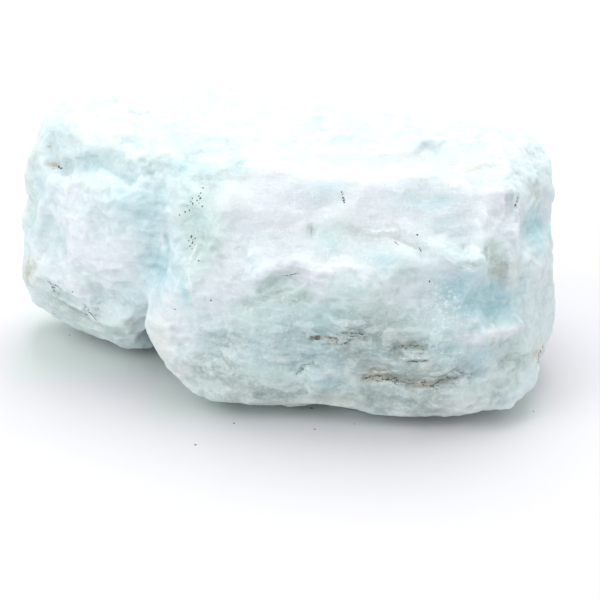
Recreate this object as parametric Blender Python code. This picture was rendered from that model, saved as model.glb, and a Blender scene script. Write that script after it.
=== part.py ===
"""A rough hemimorphite specimen: one broken block of massive, pale blue mineral, in metres.

The block lies along X with its broad broken side towards -Y. Its origin is on the surface that it rests on,
under the middle of its box. The stone is one solid. Lumps with flat broken sides are fused and their edges
are worn round, the skin is chipped, creases, ledges and pits are cut into it, and the base is cut flat.
"""

import random

import bmesh
import bpy
from mathutils import Matrix, Vector, kdtree, noise
from mathutils.bvhtree import BVHTree

MM = 0.001

# Driving dimensions: the box that the finished stone fills.
LENGTH = 91.0 * MM
DEPTH = 52.0 * MM
HEIGHT = 41.0 * MM

STONE_COLOUR = (0.76, 0.87, 0.89, 1.0)
STONE_ROUGHNESS = 0.55
TRIANGLES = 9100

# Fusing the lumps.
FINE_GRID = 0.85 * MM
EDGE_WEAR = 0.6
EDGE_WEAR_PASSES = 3

# The base: hollows up to this height above its lowest point are filled, then it is cut level.
BASE_FACING = 0.6
BASE_HOLLOWS = 1.1 * MM
BASE_CUT = 0.8 * MM
BASE_BLOCK = 200 * MM

# The broken skin: (wavelength, height) of each swell, then the chips.
SWELLS = ((19 * MM, 0.75 * MM), (8 * MM, 0.4 * MM), (3.5 * MM, 0.2 * MM))
CHIP_SEED = 7
CHIPS = 360
CHIP_REACH = (2 * MM, 6.5 * MM)
CHIP_DEPTH = (0.1 * MM, 0.4 * MM)
CHIP_TILT = 0.1

# The lower wall of the broad side splits in level layers.
LAYER_RUN = 16 * MM
LAYER_RISE = 2.6 * MM
LAYER_HEIGHT = 0.5 * MM
LAYER_TOP = 20 * MM
LAYER_FRONT = -14 * MM

# The lumps' corners in millimetres: x runs along the stone, y away from its broad side, z up.
MAIN_BLOCK = (
    # rim of the top, along the broad side
    *((-22, 0, 35.5), (-9, -8, 36.5), (8, -11, 36.5), (21, -11, 36.5), (31, -11, 34.5), (36, -7, 32.5)),
    # left side, where it meets the lobe
    *((-12, -13, 32), (-14.5, -16, 26), (-22.8, -8.5, 30.3), (-22.8, -10.5, 22.8), (-24, -11.5, 15.1)),
    # shoulder that divides the broad side into an upper slope and a lower wall
    *((-18, -17.5, 17), (-8, -21, 21), (0, -23, 24), (8, -24.5, 23)),
    *((19, -24, 26), (28, -22.5, 25.5), (34.5, -16, 24.5)),
    # foot of the lower wall at its left, then the wall, and its lower edge, which overhangs the base
    *((-25.5, -13.5, 10.5), (-22.5, -10, 5), (-19.5, -18, 2)),
    *((-8, -23.5, 10), (8, -26, 12), (25, -26.8, 9.5)),
    *((-14, -21, 1), (-8, -23, 1.4), (5, -22.4, 2.1), (14, -22, 2.6)),
    *((20, -22.8, 2.6), (30, -26.2, 0.4), (34.5, -24.6, 0.3), (39, -19.5, 2.8)),
    # underside, level and tucked in from the wall
    *((-14, -14, -2.6), (5, -16, -2.6), (25, -18, -2.6), (33, -15, -2.6)),
    # right end
    *((41.8, -8, 4), (43.1, -2, 7.5), (42.3, 2, 19), (42.3, 2, 28.5)),
    *((43.3, 10, 30.5), (40.5, 17.5, 33), (38, 21, 15)),
    # back
    *((30, 19, 33.6), (21, 18.5, 34.9), (2, 21, 37), (-12, 22, 37.8), (0, 24, 15), (-20, 24, 13)),
    *((32, 15, -2.6), (0, 18, -2.6), (-18, 10, -2.6)),
)
LEFT_LOBE = (
    # rim of the top
    *((-38.5, 8, 38.7), (-35, 3.5, 36.5), (-24.5, -0.5, 36.3), (-15, -3.5, 35.8)),
    # left end
    *((-44, 13.5, 35.3), (-46.2, 9.5, 31.5), (-46.6, 10.5, 28), (-46, 9.5, 21.5), (-48, 7, 8.5)),
    # broad side, bulging
    *((-39, -1, 30), (-40, -3.5, 17.7), (-29.5, -7.5, 30.1)),
    *((-29.5, -9, 18.7), (-23.3, -9.5, 28.1), (-23.3, -10.5, 19.6)),
    # lower edge, and the undercut below it
    *((-45, 1, 12), (-40, -3, 11), (-36, -5, 9.2), (-31.5, -6.5, 7), (-26.5, -7, 5)),
    *((-47.5, 13, 1), (-43.8, 10, 0.7), (-39.8, 5, 0.4), (-35, 2, 0.1), (-30, -1, -0.2), (-26, -1, -0.2)),
    # back
    *((-45, 19, 28), (-41, 22, 37.3), (-28.5, 24, 38.8), (-10, 23, 38.5)),
    *((-43, 21, 10), (-31, 24, 8), (-10, 24, 6)),
    *((-40, 15, -0.5), (-30, 8, -1.5), (-20, 8, -2)),
)
RIGHT_KNOB = (
    *((36.5, -13.5, 22.5), (40, -8, 23), (42.8, -2, 20.5), (43.3, 0, 8)),
    *((42.9, -6, 4.5), (38, -15.5, 15), (39, -14.5, 7)),
    *((30, 0, 22), (30, 0, 5)),
)

# Cuts and raised lines: (side that it is seen from, its points there, half width, height), in millimetres.
# A point is (x, z) on the front and back, (x, y) on the top and (y, z) on the left and right end. A cut's
# height is negative.
STROKES = (
    # seam between the left lobe and the main block
    ("front", ((-22, 34.5), (-21.8, 31), (-22, 25), (-23, 20), (-24.5, 15), (-26.5, 7.5)), 3.0, -0.9),
    # main block's left ridge, and the foot that it ends in
    ("front", ((-11.5, 33), (-12.5, 30), (-14, 26), (-17, 20.5), (-22, 15.5)), 3.0, 0.8),
    ("front", ((-22, 12), (-21, 8)), 4.5, 0.7),
    # left lobe: groove under its rim, and the rim above it
    ("front", ((-39.5, 32), (-35, 33.5), (-31.5, 34), (-28, 33)), 2.6, -1.1),
    ("front", ((-37.5, 37), (-35, 36), (-30.5, 36), (-26, 35)), 2.4, 0.7),
    # left lobe: crevice and ridge at its left corner, with the hollow end beyond them
    ("front", ((-42.5, 33.5), (-41.5, 31.5), (-39, 31.5)), 2.2, -1.1),
    ("front", ((-42, 29.5), (-43, 25.5), (-44.5, 20.5)), 2.2, 0.9),
    ("left", ((5.5, 27.5), (6.5, 23.5)), 4.5, -0.9),
    ("left", ((5.5, 22.5), (11.5, 23)), 2.4, -0.9),
    # left lobe: swollen middle, hollow chamfer under its lower edge
    ("front", ((-31.5, 25.5), (-34.5, 22)), 10.0, 0.9),
    ("front", ((-42.5, 8), (-37.5, 6.5), (-33.5, 4.5)), 2.5, -0.5),
    # notch in the rim between the lobe and the main block
    ("top", ((-12, -8), (-9, -8.5)), 2.4, -0.5),
    # upper slope: dished hollow with its raised rim, and two pits
    ("front", ((20, 32), (24, 31)), 7.5, -0.8),
    ("front", ((16, 36), (22, 36), (27, 34.5), (29, 31)), 2.4, 0.7),
    ("front", ((15.5, 29.5), (17.5, 29), (19.5, 28)), 2.2, -0.9),
    ("front", ((2, 29.5), (2.5, 27.5)), 2.0, -0.6),
    # shoulder: ledge with a crevice below it, then the brow over the hollow
    ("front", ((-6, 23.5), (-3, 25), (0, 26), (4, 25)), 2.6, 0.9),
    ("front", ((-6.5, 21.5), (-3, 23), (0, 23.8)), 2.2, -0.9),
    ("front", ((16, 30), (22, 28), (26.5, 25.5), (30, 26)), 2.4, 1.1),
    # lower wall: hollow under the brow, the swollen band below it, and the deep pit at the corner
    ("front", ((20, 21.5), (26, 20.5), (31, 19)), 6.5, -2.4),
    ("front", ((23, 15.5), (30, 15), (35, 13.5)), 3.2, 1.2),
    ("front", ((31, 26), (31.5, 23.5), (32.5, 21.5)), 3.0, -1.6),
    # lower wall: open splits along the layers
    ("front", ((1.5, 14.3), (5.5, 14.8), (10, 14.4)), 1.6, -0.8),
    ("front", ((15.5, 13.6), (19.5, 13.9)), 1.8, -0.9),
    ("front", ((10, 7.3), (16, 7.6), (20, 7), (25, 8.2)), 1.7, -0.9),
    ("front", ((-0.5, 8.3), (2, 10.3)), 1.4, -0.9),
    ("front", ((5, 2.5), (9, 2.5)), 2.6, -0.6),
    # right end: crevice at its front corner, seam beside the knob, hollow above it, step along its top
    ("front", ((35.8, 22), (36.3, 17), (36.5, 12)), 1.8, -0.8),
    ("front", ((34.4, 31.7), (34.5, 29.5)), 1.6, -1.4),
    ("right", ((-7, 25), (-3, 24.5)), 4.5, -1.2),
    ("right", ((-12, 22.5), (-7, 23.2), (0, 21)), 1.8, 0.6),
    ("right", ((6, 14), (12, 20)), 6.0, -1.6),
    ("right", ((4, 27), (9, 24), (15, 24)), 2.2, 0.9),
    # top: pit near the left rim, shallow troughs along the grain, step towards the back
    ("top", ((-27.5, 12),), 2.0, -1.1),
    ("top", ((-20, 2), (-6, 0), (8, 1)), 4.0, -0.8),
    ("top", ((-31, 15), (-24, 16.5), (-17, 16)), 3.4, -0.6),
    ("top", ((4, 5), (18, 4), (30, 6)), 3.0, 0.8),
    # back: a split that steps down across it, two scoops and a rib
    ("back", ((-34, 27), (-22, 24), (-6, 25.5), (8, 22)), 3.6, -1.2),
    ("back", ((-16, 31), (2, 32)), 7.0, -1.1),
    ("back", ((12, 11), (22, 10)), 8.0, -2.2),
    ("back", ((-28, 18), (-14, 16), (-2, 18)), 4.5, 0.9),
    ("back", ((-8, 12), (-6, 5)), 3.0, -1.3),
)
VIEWS = {
    "front": (Vector((0, 1, 0)), lambda a, b: Vector((a, -90, b))),
    "back": (Vector((0, -1, 0)), lambda a, b: Vector((a, 90, b))),
    "top": (Vector((0, 0, -1)), lambda a, b: Vector((a, b, 90))),
    "left": (Vector((1, 0, 0)), lambda a, b: Vector((-90, a, b))),
    "right": (Vector((-1, 0, 0)), lambda a, b: Vector((90, a, b))),
}


def clear_scene():
    for obj in list(bpy.data.objects):
        bpy.data.objects.remove(obj, do_unlink=True)


def lump(name, corners):
    """The convex solid of these corners."""
    solid = bmesh.new()
    for corner in corners:
        solid.verts.new(Vector(corner) * MM)
    hull = bmesh.ops.convex_hull(solid, input=solid.verts)
    bmesh.ops.delete(solid, geom=hull["geom_interior"], context="VERTS")
    mesh = bpy.data.meshes.new(name)
    solid.to_mesh(mesh)
    solid.free()
    obj = bpy.data.objects.new(name, mesh)
    bpy.context.scene.collection.objects.link(obj)
    return obj


def apply_modifiers(obj):
    bpy.context.view_layer.update()
    evaluated = obj.evaluated_get(bpy.context.evaluated_depsgraph_get())
    mesh = bpy.data.meshes.new_from_object(evaluated)
    obj.modifiers.clear()
    obj.data = mesh


def fuse(body, others):
    """Joins the lumps on an even grid, and wears the edges of the whole round."""
    for other in others:
        union = body.modifiers.new("union", "BOOLEAN")
        union.operation = "UNION"
        union.object = other
    grid = body.modifiers.new("grid", "REMESH")
    grid.mode = "VOXEL"
    grid.voxel_size = FINE_GRID
    wear(body, EDGE_WEAR_PASSES)
    apply_modifiers(body)
    for other in others:
        bpy.data.objects.remove(other, do_unlink=True)


def wear(body, passes):
    smooth = body.modifiers.new("wear", "SMOOTH")
    smooth.factor = EDGE_WEAR
    smooth.iterations = passes


def push(body, heights):
    """Moves each point along its normal by its height."""
    normals = [vertex.normal.copy() for vertex in body.data.vertices]
    for vertex, normal, height in zip(body.data.vertices, normals, heights):
        vertex.co += normal * height
    body.data.update()


def swell(body):
    """Uneven swells of a few sizes all over."""
    push(body, [sum(h * noise.noise(v.co / run) for run, h in SWELLS) for v in body.data.vertices])


def in_layers(point):
    """How fully the skin splits in layers here, from 0 to 1."""
    below = min(max((LAYER_TOP - point.z) / (5 * MM), 0), 1)
    in_front = min(max((LAYER_FRONT - point.y) / (5 * MM), 0), 1)
    return below * in_front


def split_layers(body):
    heights = []
    for vertex in body.data.vertices:
        x, y, z = vertex.co
        bed = noise.noise(Vector((x / LAYER_RUN, y / LAYER_RUN, z / LAYER_RISE)))
        heights.append(LAYER_HEIGHT * bed * in_layers(vertex.co))
    push(body, heights)


def chip(body):
    """Knocks small flat chips off the skin, each along a plane that leans a little from the surface."""
    draw = random.Random(CHIP_SEED)
    points = body.data.vertices
    tree = kdtree.KDTree(len(points))
    for i, vertex in enumerate(points):
        tree.insert(vertex.co, i)
    tree.balance()
    for _ in range(CHIPS):
        middle = points[draw.randrange(len(points))]
        lean = Vector((draw.gauss(0, 1), draw.gauss(0, 1), draw.gauss(0, 1))) * CHIP_TILT
        normal = (middle.normal + lean).normalized()
        reach = draw.uniform(*CHIP_REACH)
        plane = middle.co - middle.normal * draw.uniform(*CHIP_DEPTH)
        for _, i, distance in tree.find_range(middle.co, reach):
            over = (points[i].co - plane).dot(normal)
            if over > 0:
                points[i].co -= normal * over * min(1, 3 * (1 - distance / reach))
    body.data.update()


def on_surface(tree, view, point):
    """The point of the stone that is seen at these two coordinates from that side."""
    direction, start = VIEWS[view]
    return tree.ray_cast(start(*point) * MM, direction)[0]


def distance_to_line(point, line):
    if len(line) == 1:
        return (point - line[0]).length
    nearest = []
    for start, end in zip(line, line[1:]):
        along = end - start
        share = min(max((point - start).dot(along) / along.length_squared, 0), 1)
        nearest.append((point - start - along * share).length)
    return min(nearest)


def stroke(body, view, points, half_width, height):
    """Raises or cuts the skin along a line, most at its middle."""
    tree = BVHTree.FromPolygons([v.co for v in body.data.vertices], [p.vertices for p in body.data.polygons])
    line = [on_surface(tree, view, point) for point in points]
    reach = half_width * MM
    heights = []
    for vertex in body.data.vertices:
        share = 1 - min(distance_to_line(vertex.co, line) / reach, 1)
        heights.append(height * MM * share * share * (3 - 2 * share))
    push(body, heights)


def reduce(body):
    """Keeps the triangles where the skin bends most."""
    fewer = body.modifiers.new("fewer", "DECIMATE")
    fewer.use_collapse_triangulate = True
    fewer.ratio = TRIANGLES / (2 * len(body.data.polygons))
    apply_modifiers(body)


def level_base(body):
    """Fills the shallow hollows under the stone, so that one face is cut there."""
    lowest = min(v.co.z for v in body.data.vertices)
    for vertex in body.data.vertices:
        if vertex.normal.z < -BASE_FACING and vertex.co.z < lowest + BASE_HOLLOWS:
            vertex.co.z = lowest
    body.data.update()


def cut_base(body):
    """Cuts the lowest part off along one level face."""
    level = min(v.co.z for v in body.data.vertices) + BASE_CUT
    solid = bmesh.new()
    bmesh.ops.create_cube(solid, size=BASE_BLOCK)
    bmesh.ops.translate(solid, verts=solid.verts, vec=(0, 0, level - BASE_BLOCK / 2))
    mesh = bpy.data.meshes.new("base_block")
    solid.to_mesh(mesh)
    solid.free()
    block = bpy.data.objects.new("base_block", mesh)
    bpy.context.scene.collection.objects.link(block)
    cut = body.modifiers.new("base", "BOOLEAN")
    cut.operation = "DIFFERENCE"
    cut.object = block
    apply_modifiers(body)
    bpy.data.objects.remove(block, do_unlink=True)


def fit_to_box(body):
    """Sizes the stone to its driving dimensions, with the origin under the middle of its box."""
    corners = [[v.co[axis] for v in body.data.vertices] for axis in range(3)]
    low = Vector([min(c) for c in corners])
    high = Vector([max(c) for c in corners])
    under_middle = Vector(((low.x + high.x) / 2, (low.y + high.y) / 2, low.z))
    size = Vector((LENGTH, DEPTH, HEIGHT))
    scale = Matrix.Diagonal([full / made for full, made in zip(size, high - low)]).to_4x4()
    body.data.transform(scale @ Matrix.Translation(-under_middle))


def finish(body):
    material = bpy.data.materials.new("hemimorphite")
    material.use_nodes = True
    shader = material.node_tree.nodes["Principled BSDF"]
    shader.inputs["Base Color"].default_value = STONE_COLOUR
    shader.inputs["Roughness"].default_value = STONE_ROUGHNESS
    shader.inputs["Metallic"].default_value = 0.0
    body.data.materials.append(material)


def main():
    clear_scene()
    stone = lump("hemimorphite", MAIN_BLOCK)
    fuse(stone, [lump("left_lobe", LEFT_LOBE), lump("right_knob", RIGHT_KNOB)])
    swell(stone)
    split_layers(stone)
    chip(stone)
    for line in STROKES:
        stroke(stone, *line)
    level_base(stone)
    reduce(stone)
    cut_base(stone)
    fit_to_box(stone)
    finish(stone)


main()
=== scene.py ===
"""The looks of the hemimorphite specimen: its broken skin, its colours, the table and the light.

The scene is in metres, in the model's own frame: X along the stone, Y away from its broad broken side, Z up.
The stone's relief and marks are given in millimetres, because they are read more easily.
"""

import math
import random

import bpy
import numpy as np
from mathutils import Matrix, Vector, kdtree, noise
from mathutils.bvhtree import BVHTree

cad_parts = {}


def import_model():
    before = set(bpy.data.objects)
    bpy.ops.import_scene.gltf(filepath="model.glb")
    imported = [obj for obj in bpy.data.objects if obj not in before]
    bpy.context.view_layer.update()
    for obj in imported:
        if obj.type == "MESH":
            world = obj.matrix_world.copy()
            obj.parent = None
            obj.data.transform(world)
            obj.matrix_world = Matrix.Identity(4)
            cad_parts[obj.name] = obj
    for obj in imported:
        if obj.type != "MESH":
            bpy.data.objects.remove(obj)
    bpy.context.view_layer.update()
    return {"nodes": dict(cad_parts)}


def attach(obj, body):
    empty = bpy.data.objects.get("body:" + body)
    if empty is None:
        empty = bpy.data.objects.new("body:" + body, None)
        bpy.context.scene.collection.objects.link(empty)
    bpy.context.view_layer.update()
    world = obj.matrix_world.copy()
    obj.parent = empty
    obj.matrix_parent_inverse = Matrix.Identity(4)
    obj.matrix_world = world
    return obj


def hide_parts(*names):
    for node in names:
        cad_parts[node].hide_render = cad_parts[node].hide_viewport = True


MM = 0.001

# The camera looks at the broad side from a little above. The image is 600 pixels wide and high, and the aim
# sits 61 pixels above its middle.
CAMERA_AIM = (2.42 * MM, 0.73 * MM, 22.32 * MM)
CAMERA_ELEVATION = 25.0
CAMERA_DISTANCE = 350 * MM
CAMERA_NEAREST = 10 * MM
IMAGE_PIXELS = 600
PIXELS_PER_METRE = 6000
AIM_ABOVE_CENTRE = 61
SENSOR = 36.0

# The skin's mesh: its grid, and the share and the passes of its smoothing.
SKIN_GRID = 0.45 * MM
SKIN_SMOOTHING = (0.5, 6)

# The upper slope and the front of the top broke flatter than the rest. These are their middle and reach in
# the picture, how that fades out at the edge, and how widely and how much they are smoothed.
CALM_MIDDLE = (8.0, 6.0)
CALM_REACH = (28.0, 13.0)
CALM_EDGE = (-1, -0.6)
CALM_PASSES = 60
CALM_SHARE = 0.7

# Small flat chips, how deep one cuts at most, and how steep its edge is.
CHIP_SEED = 11
CHIP_PASSES = (
    # how many, least and most reach, least and most depth, lean
    (160, (3.0, 6.0), (0.02, 0.12), 0.06),
    (1400, (1.2, 2.8), (0.02, 0.12), 0.11),
    (4500, (0.7, 1.5), (0.01, 0.08), 0.18),
)
CHIP_MOST = 0.22
CHIP_EDGE = 3

# Level beds. Each one slopes out to its lip over most of its rise, and falls back above the lip. They wander
# up and down, tilt along the stone, come in patches, and show where the skin is steep.
BED_RISE = 1.9
BED_LIP = 0.75
BED_HEIGHT = 0.2
BED_WANDER = 1.6
BED_TILT = 0.02
BED_PATCHES = (-0.25, 0.45)
BED_STEEPNESS = (0.3, 0.8)

# The rest of the relief. Cuts have ragged sides, and the lips of small ledges end behind the broad side.
LUMP_HEIGHT = 0.03
FIBRE_HEIGHT = 0.09
GRAIN_HEIGHT = 0.06
CUT_RAGGED = 0.45
LIP_HEIGHT = 0.2
LIP_WIDTH = 0.8
LIP_BACK = 5.0

# Noise over the skin: the size of its features, its seed and its octaves. Below it is what every noise has:
# how a seed moves it along each axis, and how its octaves lose height and size.
LUMP_NOISE = (5.5, 3, 3)
BED_NOISE = (13, 5, 2)
BED_PATCH_NOISE = ((11, 11, 5), 9, 2)
FIBRE_NOISE = ((4.5, 4.5, 0.8), 13, 3)
GRAIN_NOISE = (1.1, 17, 3)
CUT_NOISE = ((1.8, 1.8, 0.9), 23, 3)
CLOUD_NOISE = ((12, 12, 8), 61, 3)
GREY_NOISE = ((14, 14, 6), 73, 3)
GREEN_NOISE = (15, 67, 2)
TAN_NOISE = (9, 71, 3)
NOISE_SHIFT = (1, 1.7, 2.3)
NOISE_FALL = 0.9
NOISE_STEP = 2.1

# The lists of marks give places in millimetres, as seen from a side. On the picture side they are right of
# and above the camera's aim. On the top they are (x, y), and on the ends (y, z).

# Fine cuts: (side, points of the line, half width, depth).
CUTS = (
    ("picture", ((1.8, -16.6), (4, -16.2), (6, -16.7)), 0.6, 0.55),
    ("picture", ((7.5, -15.6), (10.5, -15.7)), 0.45, 0.4),
    ("picture", ((6, -17.6), (9, -17.4)), 0.5, 0.45),
    ("picture", ((16, -18.1), (18.5, -17.7), (21, -18)), 0.7, 0.6),
    ("picture", ((18.4, -20.5), (21, -20.3)), 0.5, 0.45),
    ("picture", ((10.6, -23.2), (13.5, -22.8), (16.5, -23.3), (19, -24)), 0.7, 0.6),
    ("picture", ((19.5, -24.6), (22.5, -24), (25.5, -23.2), (27, -22.8)), 0.7, 0.6),
    ("picture", ((-0.3, -22.4), (0.6, -21.2), (2, -20.9)), 0.5, 0.5),
    ("picture", ((-6.8, -8.7), (-5.4, -8.2), (-3.8, -6.7), (-1.6, -6.4), (-0.4, -7.3)), 0.6, 0.3),
    ("picture", ((-3.6, -8.8), (-1.6, -8.4)), 0.45, 0.35),
    ("picture", ((15.8, 0.2), (18, -0.9), (20.8, -1.8)), 0.6, 0.25),
    ("picture", ((36.4, 7), (36, 5.4), (36.8, 2.6)), 0.55, 0.6),
    ("picture", ((-39, 12.6), (-36.8, 13.3), (-33.8, 13.9)), 0.6, 0.25),
    ("picture", ((-41.8, -7.4), (-40.2, -9)), 0.45, 0.35),
    ("picture", ((-35.9, -11.2), (-34, -13.2)), 0.45, 0.35),
    ("picture", ((1.7, 2.3), (2.1, 0.5)), 0.6, 0.4),
    ("picture", ((-28.4, 21.4), (-26.8, 21), (-25.4, 21.3)), 0.7, 0.5),
    ("picture", ((-22.4, 0.6), (-22, -2)), 0.6, 0.45),
)

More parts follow.
